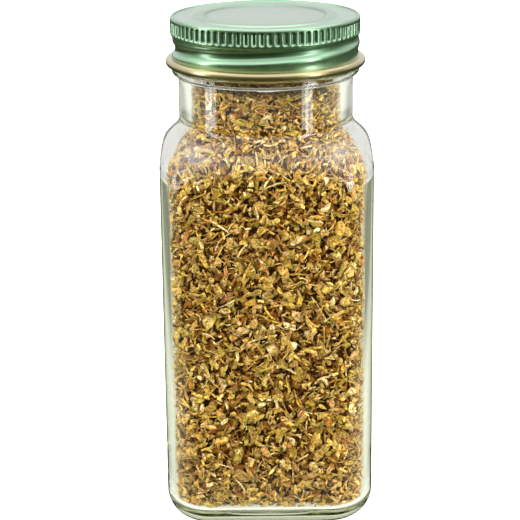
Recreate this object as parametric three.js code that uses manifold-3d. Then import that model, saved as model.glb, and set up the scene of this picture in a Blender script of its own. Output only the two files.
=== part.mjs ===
// A square glass spice jar filled with dried oregano and closed by a pressed metal screw cap.
// Millimetres, +Z up. The origin lies under the middle of the base, on the plane the jar stands on,
// and the front face looks along -Y. The cap is shown screwed down.
import * as THREE from 'three';
import { mergeVertices } from 'three/addons/utils/BufferGeometryUtils.js';
import Module from 'manifold-3d';

const { PI, sin, cos, sqrt, abs, exp, floor, round, hypot, atan2 } = Math;
const TURN = 2 * PI;
const degrees = THREE.MathUtils.degToRad;
const mix = THREE.MathUtils.lerp;
const clamp = THREE.MathUtils.clamp;
const ease = THREE.MathUtils.smoothstep;

// ---- Driving dimensions -------------------------------------------------------------------------

const CLEARANCE = 0.3; // least gap between two pieces

// Glass: the body
const BODY_HALF = 23.4; // half the width over the flats
const BODY_CORNER = 10; // radius of the upright corners
const BODY_WALL = 1.7;
const HEEL_RADIUS = 7; // rounding from the walls to the bearing ring

// Glass: the base
const PUSH_UP_RADIUS = 13.8; // edge of the hollow under the base, inside the bearing ring
const PUSH_UP_DEPTH = 1.8;
const FLOOR_EDGE = 3.8; // height of the inner floor where it meets the walls
const FLOOR_RISE = 0.7; // the floor's dome in the middle
const FLOOR_RADIUS = 16; // of the part of the floor that domes
const INNER_HEEL = 3;

// Glass: the shoulder, a round dome that widens downwards until the square walls cut it off
const DOME_TOP = 91.1; // where it leaves the neck
const DOME_LOW = 78.2;
const DOME_FAR = 37; // its radius at the low end, past the corners of the body
const INNER_DOME_TOP = 90;
const INNER_DOME_LOW = 77;
const INNER_DOME_FAR = 34;
const DOME_BLEND = 5; // rounding of the edge where the dome meets the walls

// Glass: the neck and finish
const NECK_RADIUS = 19.45;
const BORE_RADIUS = 16.8; // inside the neck
const RING_RADIUS = 20.75; // transfer ring below the cap
const RING_LOW = 101;
const RING_TOP = 102.3;
const RING_ROUND = 0.3; // rounding of its edges
const THREAD_ROOT = 18.95;
const THREAD_CREST = 19.85;
const RIM_HEIGHT = 111.7; // top of the glass
const RIM_ROUND = 0.6;

// The screw thread, shared by the glass and the cap. It is right-handed with one start.
const PITCH = 5.08;
const FRONT = degrees(270); // the direction of the front face, as an angle about +Z
const CAP_THREAD_FRONT = 107.85; // height of the cap's groove where it passes the front
const GLASS_THREAD_ABOVE = 2.4; // the glass ridge runs this far above the cap's groove
const GLASS_THREAD_FROM = degrees(-130);
const GLASS_THREAD_TO = degrees(300);
const GLASS_THREAD_FADE = degrees(30);
const GLASS_THREAD_CREST_WIDTH = 0.7;
const GLASS_THREAD_ROOT_WIDTH = 1.7;
const GLASS_THREAD_SUNK = 0.5; // depth of its root in the wall

// Cap: the pressed sheet
const SHEET = 0.42;
const CAP_TOP = 113.65; // highest line, the edge of the top
const CAP_PANEL = 113.35; // the flat of the top
const CAP_PANEL_RADIUS = 19.8;
const CAP_EDGE_ROUND = 0.6; // rounding from the top to the grip band
const CAP_RING_RADIUS = 14.65; // raised flat ring pressed into the top
const CAP_RING_HALF_WIDTH = 1.85;
const CAP_RING_FLAT = 0.4; // share of its width that is level
const CAP_RING_RISE = 0.27;
const GRIP_RADIUS = 20.98; // over the ribs of the grip band
const GRIP_VALLEY = 20.55;
const GRIP_RIBS = 78;
const GRIP_TOP = 112.85;
const GRIP_LOW = 110.1;
const GRIP_END = 0.35; // the valleys run out over this height
const SKIRT_TOP = 109.4;
const SKIRT_LOW = 104.5;
const SKIRT_RADIUS = 20.55;
const GROOVE_DEPTH = 0.6; // rolled in: outside a groove, inside the cap's thread
const GROOVE_HALF_WIDTH = 1.1;
const GROOVE_FROM = degrees(20);
const GROOVE_TO = degrees(345);
const GROOVE_FADE = [degrees(30), degrees(55)]; // at its start and at its end
const BULGE_RISE = 0.32; // the swelling of the skirt that follows below the groove
const BULGE_HALF_WIDTH = 0.9;
const BULGE_BELOW = 1.55; // its distance below the groove
const BULGE_FROM = degrees(165);
const BULGE_TO = degrees(405);
const BULGE_FADE = [degrees(35), degrees(45)];
const CURL_RADIUS = 21.2; // middle of the rolled edge
const CURL_ROUND = 0.95; // half its thickness
const CURL_HEIGHT = 103.6;

// Sealing disc under the top of the cap
const LINER_RADIUS = 19.5;
const LINER_ROUND = 0.12;
const LINER_LOW = RIM_HEIGHT + CLEARANCE;
const LINER_TOP = CAP_PANEL - SHEET - CLEARANCE;

// The filling
const FILL_GAP = 0.45; // between the filling and the glass
const FILL_LEAD = 2; // the filling narrows this far below the narrowing of the shoulder
const FILL_TOP = 98.6;
const FILL_MOUND = 1.4; // how far the middle of its top stands above the edge
const RELIEF = 1.9; // depth of the crumbly surface
const FLAKE_COLUMNS = 32;
const FLAKE_ROWS = 18;
const FLAKE_JITTER = 0.3; // how far a corner is moved, in widths of a flake
const FLAKE_SLANT = 0.37; // how far each row is turned past the one below
const FLAKE_INSET = 0.17; // how far each flake draws in from its neighbours
const FLAKE_TILT = 0.5;
const FLAKE_DEPTH = [0.15, 0.75]; // of its middle, as shares of the relief
const STEM_BITS = 14;
const STEM_LENGTH = [6, 10];
const STEM_THICKNESS = 0.8;
const STEM_SINK = 0.75; // depth of a stem's middle below the skin
const SEED = 20417;

// How finely the round pieces are cut
const GLASS_SIDES = 56;
const SHOULDER_ROWS = 9;
const INNER_ROWS = 8;
const CAP_SIDES = 52; // a third of the grip band's points
const GRIP_POINTS = 2 * GRIP_RIBS;
const SKIRT_ROWS = 9;
const CURL_STEPS = [128, 85, 35, -10, -55, -100, -145].map(degrees); // round its section
const LINER_SIDES = 48;

// ---- Solids -------------------------------------------------------------------------------------

const wasm = await Module();
wasm.setup();

// Six times the signed volume of an indexed mesh: positive when its faces point out.
function signedVolume(positions, index) {
  const corner = [new THREE.Vector3(), new THREE.Vector3(), new THREE.Vector3()];
  let sum = 0;
  for (let i = 0; i < index.length; i += 3) {
    corner.forEach((v, k) => v.fromArray(positions, 3 * index[i + k]));
    sum += corner[0].dot(corner[1].cross(corner[2]));
  }
  return sum;
}

function geometryOf(positions, index) {
  const geometry = new THREE.BufferGeometry();
  geometry.setAttribute('position', new THREE.Float32BufferAttribute(positions, 3));
  geometry.setIndex(signedVolume(positions, index) < 0 ? [...index].reverse() : index);
  return geometry;
}

// Triangles between two neighbouring loops of points. A loop of one point is a pole, and one loop
// may have a whole number of times as many points as the other.
function bridge(index, a, b) {
  const fine = Math.max(a.count, b.count);
  const at = (loop, k) => loop.start + (round((k * loop.count) / fine) % loop.count);
  for (let k = 0; k < fine; k += 1) {
    const a0 = at(a, k);
    const a1 = at(a, k + 1);
    const b0 = at(b, k);
    const b1 = at(b, k + 1);
    if (b0 !== b1) index.push(a0, b0, b1);
    if (a0 !== a1) index.push(a0, b1, a1);
  }
}

// A closed surface through loops of points, from one pole to the other.
function skin(loops) {
  const positions = loops.flat().flatMap((p) => p.toArray());
  const index = [];
  let start = 0;
  const spans = loops.map((loop) => {
    const span = { start, count: loop.length };
    start += loop.length;
    return span;
  });
  for (let i = 1; i < spans.length; i += 1) bridge(index, spans[i - 1], spans[i]);
  return geometryOf(positions, index);
}

function solidOf(geometry) {
  const bare = geometry.clone();
  bare.deleteAttribute('normal');
  bare.deleteAttribute('uv');
  const merged = mergeVertices(bare, 1e-3);
  const mesh = new wasm.Mesh({
    numProp: 3,
    vertProperties: merged.attributes.position.array,
    triVerts: new Uint32Array(merged.index.array),
  });
  return new wasm.Manifold(mesh);
}

// The largest body of a solid: its loose scraps are dropped and the hollows sealed in it filled.
function mainBody(solid) {
  return solid.decompose().reduce((best, body) => (body.volume() > best.volume() ? body : best));
}

function geometryOfSolid(solid) {
  const mesh = mainBody(solid).getMesh();
  return geometryOf([...mesh.vertProperties], [...mesh.triVerts]);
}

// ---- Shapes shared by the pieces ----------------------------------------------------------------

// Distance from the axis to the edge of a square with rounded corners, in the direction of angle.
// half is half its width over the flats. With corner equal to half it is a circle.
function squareReach(angle, half, corner) {
  const c = abs(cos(angle));
  const s = abs(sin(angle));
  const middle = half - corner; // both coordinates of the corner's centre
  const large = Math.max(c, s);
  const small = Math.min(c, s);
  if (half * small <= middle * large) return half / large;
  const along = middle * (c + s);
  const across = middle * (c - s);
  return along + sqrt(corner * corner - across * across);
}

// Evenly spaced values from one to another, both included.
const rows = (from, to, count) =>
  Array.from({ length: count + 1 }, (_, i) => mix(from, to, i / count));
const around = (count) => Array.from({ length: count }, (_, i) => (TURN * i) / count);
const polar = (reach, angle, z) => new THREE.Vector3(reach * cos(angle), reach * sin(angle), z);
const pole = (z) => [new THREE.Vector3(0, 0, z)];
const circleLoop = (radius, z, sides) => around(sides).map((angle) => polar(radius, angle, z));

// The lesser of two reaches, rounded off where they differ by less than DOME_BLEND.
function lesser(a, b) {
  const near = Math.max(DOME_BLEND - abs(a - b), 0);
  return Math.min(a, b) - (near * near) / (4 * DOME_BLEND);
}

// Reach of the outside of the glass at height z above the heel.
function outerReach(angle, z) {
  const dome = mix(DOME_FAR, NECK_RADIUS, ease(z, DOME_LOW, DOME_TOP));
  return lesser(dome, squareReach(angle, BODY_HALF, BODY_CORNER));
}

// Reach of the inside of the glass at height z above the floor, less a gap.
function innerReach(angle, z, gap = 0) {
  const dome = mix(INNER_DOME_FAR, BORE_RADIUS, ease(z, INNER_DOME_LOW, INNER_DOME_TOP));
  const low = clamp((FLOOR_EDGE + INNER_HEEL - z) / INNER_HEEL, 0, 1);
  const inset = BODY_WALL + INNER_HEEL * (1 - sqrt(1 - low * low)) + gap;
  return lesser(dome - gap, squareReach(angle, BODY_HALF - inset, BODY_CORNER - inset));
}

// Height of a thread line at an angle about the axis.
const threadHeight = (angle) => CAP_THREAD_FRONT + (PITCH * (angle - FRONT)) / TURN;

// The same direction as angle, within one turn from start.
const within = (angle, start) => start + ((((angle - start) % TURN) + TURN) % TURN);

// 1 along a stretch and falling to 0 over fade at each of its ends.
function stretch(angle, from, to, fadeIn, fadeOut) {
  return ease(angle, from, from + fadeIn) * (1 - ease(angle, to - fadeOut, to));
}

// A smooth hump of height 1 at 0, nearly gone at 2.
const hump = (x) => exp(-x * x);

// ---- Glass jar ----------------------------------------------------------------------------------

function glassShell() {
  const loops = [pole(PUSH_UP_DEPTH)];
  const loop = (reach, z) =>
    loops.push(around(GLASS_SIDES).map((angle) => polar(reach(angle, z), angle, z)));
  const hoop = (radius, z) => loops.push(circleLoop(radius, z, GLASS_SIDES));

  // The hollow under the base, then the heel, which starts at the flat bearing ring
  for (const share of [0.55, 0.93, 1]) {
    hoop(share * PUSH_UP_RADIUS, PUSH_UP_DEPTH * sqrt(1 - share * share));
  }
  for (const step of [0, 0.22, 0.45, 0.7, 1]) {
    const turn = (step * PI) / 2;
    const inset = HEEL_RADIUS * (1 - sin(turn));
    const heel = (angle) => squareReach(angle, BODY_HALF - inset, BODY_CORNER - inset);
    loop(heel, HEEL_RADIUS * (1 - cos(turn)));
  }

  // Straight walls, shoulder and neck
  for (const z of rows(DOME_LOW, DOME_TOP, SHOULDER_ROWS)) {
    loop(outerReach, z);
  }

  // Transfer ring, finish and rim
  hoop(NECK_RADIUS, RING_LOW - RING_ROUND);
  hoop(RING_RADIUS - RING_ROUND, RING_LOW);
  hoop(RING_RADIUS, RING_LOW + RING_ROUND);
  hoop(RING_RADIUS, RING_TOP - RING_ROUND);
  hoop(RING_RADIUS - RING_ROUND, RING_TOP);
  hoop(THREAD_ROOT + RING_ROUND, RING_TOP);
  hoop(THREAD_ROOT, RING_TOP + RING_ROUND);
  hoop(THREAD_ROOT, RIM_HEIGHT - RIM_ROUND);
  hoop(THREAD_ROOT - RIM_ROUND, RIM_HEIGHT);
  hoop(BORE_RADIUS + RIM_ROUND, RIM_HEIGHT);
  hoop(BORE_RADIUS, RIM_HEIGHT - RIM_ROUND);

  // Down the inside to the floor
  const innerHeights = rows(INNER_DOME_TOP, INNER_DOME_LOW, INNER_ROWS);
  const heelHeights = [1, 0.4, 0.08].map((share) => FLOOR_EDGE + share * INNER_HEEL);
  for (const z of [...innerHeights, ...heelHeights]) {
    loop((angle) => innerReach(angle, z), z);
  }
  for (const share of [0.97, 0.5]) {
    hoop(share * FLOOR_RADIUS, FLOOR_EDGE + FLOOR_RISE * (1 - share * share));
  }
  loops.push(pole(FLOOR_EDGE + FLOOR_RISE));
  return skin(loops);
}

// The raised thread on the finish: a ridge of four corners swept along the helix, sunk into the
// wall, which tapers away at both ends.
function glassThread() {
  const [from, to, fade] = [GLASS_THREAD_FROM, GLASS_THREAD_TO, GLASS_THREAD_FADE];
  const steps = round(((to - from) / TURN) * GLASS_SIDES);
  const sunk = THREAD_ROOT - GLASS_THREAD_SUNK;
  const root = GLASS_THREAD_ROOT_WIDTH / 2;
  const top = GLASS_THREAD_CREST_WIDTH / 2;
  const loops = rows(from, to, steps).map((angle) => {
    const z = threadHeight(angle) + GLASS_THREAD_ABOVE;
    const full = stretch(angle, from, to, fade, fade);
    const crest = mix(THREAD_ROOT - GLASS_THREAD_SUNK / 2, THREAD_CREST, full);
    return [
      polar(sunk, angle, z - root),
      polar(crest, angle, z - top),
      polar(crest, angle, z + top),
      polar(sunk, angle, z + root),
    ];
  });
  const middleOf = (loop) => loop.reduce((sum, p) => sum.add(p), new THREE.Vector3()).divideScalar(4);
  return skin([[middleOf(loops[0])], ...loops, [middleOf(loops.at(-1))]]);
}

function glassJar() {
  return geometryOfSolid(solidOf(glassShell()).add(solidOf(glassThread())));
}

// ---- Screw cap ----------------------------------------------------------------------------------

// Outer radius of the skirt between the grip band and the rolled edge.
function skirtReach(angle, z) {
  const groove = within(angle, GROOVE_FROM);
  const rolled = stretch(groove, GROOVE_FROM, GROOVE_TO, ...GROOVE_FADE);
  const across = abs((z - threadHeight(groove)) / GROOVE_HALF_WIDTH);
  const inward = GROOVE_DEPTH * rolled * hump(across ** 1.5);
  const bulge = within(angle, BULGE_FROM);
  const swollen = stretch(bulge, BULGE_FROM, BULGE_TO, ...BULGE_FADE);
  const middle = threadHeight(bulge) - BULGE_BELOW;
  const outward = BULGE_RISE * swollen * hump((z - middle) / BULGE_HALF_WIDTH);
  return SKIRT_RADIUS + outward - inward;
}

function capShell() {
  const loops = [pole(CAP_PANEL)];
  const plain = (radius, z) => loops.push(circleLoop(radius, z, CAP_SIDES));
  const skirt = (inset, z) =>
    loops.push(around(CAP_SIDES).map((angle) => polar(skirtReach(angle, z) - inset, angle, z)));
  const ribs = (z) => {
    const reach = (i) => (i % 2 ? GRIP_VALLEY : GRIP_RADIUS);
    loops.push(around(GRIP_POINTS).map((angle, i) => polar(reach(i), angle, z)));
  };

  // Top: the flat panel with its raised ring, then the edge
  for (const across of [-1, -CAP_RING_FLAT, CAP_RING_FLAT, 1]) {
    const rise = abs(across) < 1 ? CAP_RING_RISE : 0;
    plain(CAP_RING_RADIUS + across * CAP_RING_HALF_WIDTH, CAP_PANEL + rise);
  }
  plain(CAP_PANEL_RADIUS, CAP_PANEL);
  for (const turn of [PI / 2, PI / 4, 0]) {
    const [out, up] = [cos(turn), sin(turn)].map((share) => CAP_EDGE_ROUND * (share - 1));
    plain(GRIP_RADIUS + out, CAP_TOP + up);
  }

  // Grip band
  ribs(GRIP_TOP);
  ribs(GRIP_LOW);
  plain(mix(GRIP_VALLEY, GRIP_RADIUS, 0.6), GRIP_LOW - GRIP_END);

  // Skirt with its rolled thread, down to the rolled edge
  for (const z of rows(SKIRT_TOP, SKIRT_LOW, SKIRT_ROWS)) skirt(0, z);
  for (const turn of CURL_STEPS) {
    plain(CURL_RADIUS + CURL_ROUND * cos(turn), CURL_HEIGHT + CURL_ROUND * sin(turn));
  }

  // Up the inside
  plain(SKIRT_RADIUS - SHEET, CURL_HEIGHT);
  for (const z of rows(SKIRT_LOW - SHEET, SKIRT_TOP, SKIRT_ROWS)) skirt(SHEET, z);
  plain(GRIP_VALLEY - SHEET, GRIP_LOW);
  plain(GRIP_VALLEY - SHEET, GRIP_TOP - SHEET);
  plain(CAP_PANEL_RADIUS, CAP_PANEL - SHEET);
  loops.push(pole(CAP_PANEL - SHEET));
  return skin(loops);
}

// Sealing disc with a slightly rounded edge.
function capLiner() {
  const ring = (radius, z) => circleLoop(radius, z, LINER_SIDES);
  return skin([
    pole(LINER_LOW),
    ring(LINER_RADIUS - LINER_ROUND, LINER_LOW),
    ring(LINER_RADIUS, LINER_LOW + LINER_ROUND),
    ring(LINER_RADIUS, LINER_TOP - LINER_ROUND),
    ring(LINER_RADIUS - LINER_ROUND, LINER_TOP),
    pole(LINER_TOP),
  ]);
}

// ---- Filling of dried oregano -------------------------------------------------------------------

// A repeatable stream of numbers from 0 to 1.
function seededRandom(seed) {
  let state = seed >>> 0;
  return () => {
    state = (state + 0x6d2b79f5) >>> 0;
    let t = state;
    t = Math.imul(t ^ (t >>> 15), t | 1);
    t ^= t + Math.imul(t ^ (t >>> 7), t | 61);
    return ((t ^ (t >>> 14)) >>> 0) / 4294967296;
  };
}

const random = seededRandom(SEED);
const between = ([low, high]) => mix(low, high, random());

// The furthest that the filling may reach from the axis.
const fillReach = (angle, z) =>
  Math.min(...[z, z + FILL_LEAD].map((height) => innerReach(angle, height, FILL_GAP)));

const FILL_LOW = FLOOR_EDGE + FLOOR_RISE + FILL_GAP;
const fillTopAt = (share) => FILL_TOP + FILL_MOUND * cos((share * PI) / 2);

// Pulls a point back to where the filling may be.
function intoJar(point) {
  point.z = Math.max(point.z, FILL_LOW);
  const limit = fillReach(atan2(point.y, point.x), point.z);
  const reach = hypot(point.x, point.y);
  if (reach > limit) {
    point.x *= limit / reach;
    point.y *= limit / reach;
  }
  return point;
}

// The lattice that the flakes of the skin are laid on: rows up the jar and columns round it, its
// corners moved about at random and each row turned a little further than the one below.
function flakeLattice() {
  const step = TURN / FLAKE_COLUMNS;
  const rise = (FILL_TOP - FILL_LOW) / FLAKE_ROWS;
  const jitter = () => FLAKE_JITTER * (2 * random() - 1);
  return Array.from({ length: FLAKE_ROWS + 1 }, (_, row) => {
    const ends = row === 0 || row === FLAKE_ROWS;
    const corners = around(FLAKE_COLUMNS).map((angle) => ({
      angle: angle + step * (FLAKE_SLANT * row + jitter()),
      z: FILL_LOW + rise * (row + (ends ? 0.15 * random() : jitter())),
    }));
    return [...corners, { angle: corners[0].angle + TURN, z: corners[0].z }];
  });
}

// The lower and the upper edges of one row of flakes, as two loops round the jar. Each flake is a
// four-cornered plate with its own depth, tilt and fold, set a little apart from its neighbours.
function flakeRow(lower, upper) {
  const loops = [[], []];
  for (let i = 0; i < FLAKE_COLUMNS; i += 1) {
    const corners = [lower[i], lower[i + 1], upper[i], upper[i + 1]];
    const angle = corners.reduce((sum, c) => sum + c.angle, 0) / 4;
    const z = corners.reduce((sum, c) => sum + c.z, 0) / 4;
    const depth = between(FLAKE_DEPTH) * RELIEF;
    const [tilt, lean, fold] = [0, 0, 0].map(() => FLAKE_TILT * (2 * random() - 1));
    corners.forEach((corner, k) => {
      const right = k % 2 ? 1 : -1;
      const high = k > 1 ? 1 : -1;
      const behind = depth + tilt * right + lean * high + fold * right * high;
      const a = mix(corner.angle, angle, FLAKE_INSET);
      const h = mix(corner.z, z, FLAKE_INSET);
      loops[floor(k / 2)].push(polar(fillReach(a, h) - clamp(behind, 0, RELIEF), a, h));
    });
  }
  return loops;
}

// The packed mass: a patchwork of flakes up the sides, closed by a crumbled top and bottom.
function packedMass() {
  const lattice = flakeLattice();
  const lastSlant = (TURN / FLAKE_COLUMNS) * FLAKE_SLANT * FLAKE_ROWS;
  const sides = lattice.slice(1).flatMap((upper, i) => flakeRow(lattice[i], upper));
  const crumbs = (share, count, height, rough, slant = 0) =>
    around(count).map((angle) => {
      const turned = angle + (TURN / count) * FLAKE_JITTER * (2 * random() - 1) + slant;
      return polar(share * fillReach(turned, height), turned, height + rough * random());
    });
  return skin([
    pole(FILL_LOW + RELIEF * random()),
    crumbs(0.4, FLAKE_COLUMNS / 2, FILL_LOW, RELIEF),
    crumbs(0.78, FLAKE_COLUMNS, FILL_LOW, RELIEF),
    ...sides,
    crumbs(0.78, FLAKE_COLUMNS, fillTopAt(0.78), -RELIEF, lastSlant),
    crumbs(0.56, FLAKE_COLUMNS, fillTopAt(0.56), -RELIEF, lastSlant),
    crumbs(0.34, FLAKE_COLUMNS / 2, fillTopAt(0.34), -RELIEF, lastSlant),
    crumbs(0.15, FLAKE_COLUMNS / 4, fillTopAt(0.15), -RELIEF, lastSlant),
    pole(fillTopAt(0)),
  ]);
}

// A frame on the skin of the filling, its third axis pointing out of the mass.
function skinFrame(angle, z) {
  const small = 0.02;
  const at = (a, h) => polar(fillReach(a, h), a, h);
  const middle = at(angle, z);
  const along = at(angle + small, z).sub(at(angle - small, z)).normalize();
  const up = at(angle, z + 10 * small).sub(at(angle, z - 10 * small)).normalize();
  const out = new THREE.Vector3().crossVectors(along, up).normalize();
  return new THREE.Matrix4().makeBasis(along, up, out).setPosition(middle);
}

// A straight bit of stem with four sides.
function stemBit() {
  const half = between(STEM_LENGTH) / 2;
  const reach = STEM_THICKNESS / sqrt(2);
  const end = (x) => around(4).map((a) => new THREE.Vector3(x, reach * cos(a), reach * sin(a)));
  const middle = (x) => [new THREE.Vector3(x, 0, 0)];
  return [middle(-half), end(-half), end(half), middle(half)];
}

// Lays a bit of stem on the skin of the mass, turned at random, with one side sunk in.
function placeStem(angle, height) {
  const sunk = new THREE.Matrix4().makeTranslation(0, 0, -STEM_SINK);
  const turn = new THREE.Matrix4().makeRotationZ(TURN * random());
  const place = skinFrame(angle, height).multiply(sunk).multiply(turn);
  return skin(stemBit().map((loop) => loop.map((p) => intoJar(p.applyMatrix4(place)))));
}

function driedOregano() {
  const golden = PI * (3 - sqrt(5)); // spreads the stems evenly round and up the jar
  const stems = Array.from({ length: STEM_BITS }, (_, i) => {
    const height = mix(FILL_LOW + STEM_LENGTH[0], INNER_DOME_LOW, (i + random()) / STEM_BITS);
    return placeStem(golden * i, height);
  });
  return geometryOfSolid(stems.reduce((mass, stem) => mass.add(solidOf(stem)), solidOf(packedMass())));
}

// ---- The whole jar ------------------------------------------------------------------------------

function piece(name, geometry, color, roughness, metalness, extra = {}) {
  const material = new THREE.MeshStandardMaterial({ color, roughness, metalness, ...extra });
  const mesh = new THREE.Mesh(geometry, material);
  mesh.name = name;
  return mesh;
}

const jar = new THREE.Group();
jar.add(piece('glass_jar', glassJar(), '#dfe8dc', 0.05, 0, { transparent: true, opacity: 0.35 }));
jar.add(piece('dried_oregano', driedOregano(), '#a08a4c', 0.85, 0));

const cap = new THREE.Group();
cap.add(piece('cap_shell', capShell(), '#4f8f63', 0.3, 0.9));
cap.add(piece('cap_liner', capLiner(), '#e8e6dc', 0.6, 0));
jar.add(cap);

export default jar;
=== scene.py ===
"""A glass spice jar of dried oregano with a lacquered screw cap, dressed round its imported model.

Every new piece is a surface worked out in the model's own frame: metres, +Z up, the origin under
the middle of the base and the front face looking along -Y.
"""
import math

import bpy
import numpy as np
from mathutils import Matrix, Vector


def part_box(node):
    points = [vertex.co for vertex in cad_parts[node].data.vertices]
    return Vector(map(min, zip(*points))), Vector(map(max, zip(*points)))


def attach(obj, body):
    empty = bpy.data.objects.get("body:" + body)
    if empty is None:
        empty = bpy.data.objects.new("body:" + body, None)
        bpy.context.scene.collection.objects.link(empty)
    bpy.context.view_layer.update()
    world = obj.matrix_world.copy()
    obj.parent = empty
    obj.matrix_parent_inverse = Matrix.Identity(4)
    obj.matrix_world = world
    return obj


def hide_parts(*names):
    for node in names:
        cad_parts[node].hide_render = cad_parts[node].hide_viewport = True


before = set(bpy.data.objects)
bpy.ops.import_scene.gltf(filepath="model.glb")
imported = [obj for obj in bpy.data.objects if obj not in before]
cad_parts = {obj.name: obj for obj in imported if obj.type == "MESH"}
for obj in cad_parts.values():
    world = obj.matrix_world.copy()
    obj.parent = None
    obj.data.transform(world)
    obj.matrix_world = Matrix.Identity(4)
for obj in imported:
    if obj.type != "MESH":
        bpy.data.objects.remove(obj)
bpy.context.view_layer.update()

bl_info = {
    "name": "Spice Jar of Dried Oregano",
    "version": (1, 0, 0),
    "blender": (4, 5, 0),
    "location": "3D View > Sidebar > Spice Jar",
    "description": "Clear glass, packed leaf flakes, lacquered screw cap and studio for the jar",
    "category": "Add Mesh",
}

MM = 0.001
TURN = 2 * math.pi
FRONT = math.radians(270)  # the front face's direction as an angle about +Z
LIGHT_BOUNCES = 48  # light is caught in the thick glass of the heel for many turns
JAR_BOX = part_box("glass_jar")
CAP_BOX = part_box("cap_shell")


# ---- Sizes and colours a user would change ----


def number(name, description, default, least=1):
    return bpy.props.IntProperty(name=name, description=description, default=default, min=least)


def length(name, description, default):
    return bpy.props.FloatProperty(
        name=name, description=description, default=default, unit="LENGTH", precision=5
    )


def angle(name, description, default):
    return bpy.props.FloatProperty(
        name=name, description=description, default=math.radians(default), subtype="ANGLE"
    )


def share(name, description, default):
    return bpy.props.FloatProperty(
        name=name, description=description, default=default, min=0, subtype="FACTOR"
    )


def linear(red, green, blue):
    """Scene-linear colour of one written as 0 to 255: ((c + 0.055) / 1.055) ^ 2.4 past the toe."""
    parts = (c / 255 for c in (red, green, blue))
    return tuple(c / 12.92 if c <= 0.04045 else ((c + 0.055) / 1.055) ** 2.4 for c in parts)


def colour(name, description, default):
    return bpy.props.FloatVectorProperty(
        name=name, description=description, default=linear(*default), size=3, min=0, max=1,
        subtype="COLOR",
    )


class GlassSettings(bpy.types.PropertyGroup):
    """Sizes of the glass jar"""

    half_width: length("Half width", "Half the body's width over the flats", JAR_BOX[1].x)
    corner: length("Corner radius", "Radius of the upright corners", 10 * MM)
    wall: length("Wall", "Thickness of the walls", 1.7 * MM)
    heel: length("Heel", "Rounding from the walls to the base", 7 * MM)
    inner_heel: length("Inner heel", "Rounding from the inner walls to the floor", 3 * MM)
    dome_top: length("Dome top", "Height where the shoulder leaves the neck", 91.1 * MM)
    dome_low: length("Dome low", "Height where the dome is at its widest", 78.2 * MM)
    dome_far: length("Dome far", "The dome's widest radius, past the body's corners", 37 * MM)
    inner_top: length("Inner dome top", "Height where the shoulder leaves the bore", 90 * MM)
    inner_low: length("Inner dome low", "Height where the inner dome is at its widest", 77 * MM)
    inner_far: length("Inner dome far", "The inner dome's widest radius", 34 * MM)
    blend: length("Blend", "Rounding of the edge where a dome meets the walls", 5 * MM)
    hollow: length("Hollow radius", "Radius of the hollow under the base", 13.8 * MM)
    hollow_depth: length("Hollow depth", "Depth of the hollow under the base", 1.8 * MM)
    floor: length("Floor", "Height of the inner floor at its edge", 3.8 * MM)
    floor_rise: length("Floor rise", "How far the floor domes up", 0.7 * MM)
    floor_radius: length("Floor radius", "Radius of the domed part of the floor", 16 * MM)
    neck: length("Neck radius", "Outer radius of the neck", 19.45 * MM)
    bore: length("Bore radius", "Inner radius of the neck", 16.8 * MM)
    ring: length("Ring radius", "Radius of the ring below the cap", 20.75 * MM)
    ring_low: length("Ring low", "Height of the ring's lower edge", 101 * MM)
    ring_top: length("Ring top", "Height of the ring's upper edge", 102.3 * MM)
    thread_root: length("Thread root", "Radius of the finish between the threads", 18.95 * MM)
    thread_crest: length("Thread crest", "Radius over the thread", 19.85 * MM)
    rim: length("Rim", "Height of the rim", JAR_BOX[1].z)
    tint: colour("Tint", "Colour that thick glass takes", (200, 207, 152))


class CapSettings(bpy.types.PropertyGroup):
    """Sizes and colours of the screw cap"""

    top: length("Top", "Height of the highest edge", CAP_BOX[1].z)
    panel: length("Panel", "Height of the flat top", 113.35 * MM)
    sheet: length("Sheet", "Thickness of the sheet", 0.42 * MM)
    ring: length("Ring radius", "Radius of the raised flat ring on the top", 14.65 * MM)
    ring_half_width: length("Ring half width", "Half the raised ring's width", 1.3 * MM)
    ring_rise: length("Ring rise", "Height of the raised ring", 0.27 * MM)
    grip: length("Grip radius", "Radius over the ribs", 20.98 * MM)
    grip_depth: length("Slot depth", "Depth of the slots between the ribs", 0.43 * MM)
    slots: number("Slots", "Number of slots round the grip band", 78, least=12)
    skirt: length("Skirt radius", "Radius of the plain skirt", 20.55 * MM)
    pitch: length("Pitch", "Rise of the thread in one turn", 5.08 * MM)
    thread_front: length("Thread height", "Height of the groove at the front", 107.85 * MM)
    groove: length("Groove depth", "Depth of the rolled thread", 0.6 * MM)
    bulge: length("Bulge rise", "Swelling of the skirt below the groove", 0.32 * MM)
    curl: length("Curl radius", "Radius to the middle of the rolled edge", 21.2 * MM)
    curl_round: length("Curl round", "Half the rolled edge's thickness", 0.95 * MM)
    curl_height: length("Curl height", "Height of the rolled edge's middle", 103.6 * MM)
    green: colour("Green", "Lacquer on the outside", (148, 194, 152))
    # Painted reflection: the flat of the top is painted this paler green where it mirrors the
    # light overhead.
    pale: colour("Pale green", "Lacquer on the flat of the top", (139, 165, 145))
    # Painted shade: this darker green goes into the slots, the groove, the ring and its crease,
    # the edges and under the rolled edge.
    painted_shade_green: colour("Slot shade", "Lacquer gathered in the slots", (60, 110, 66))
    gold: colour("Gold", "Lacquer on the rolled edge and inside", (183, 169, 115))


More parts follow.
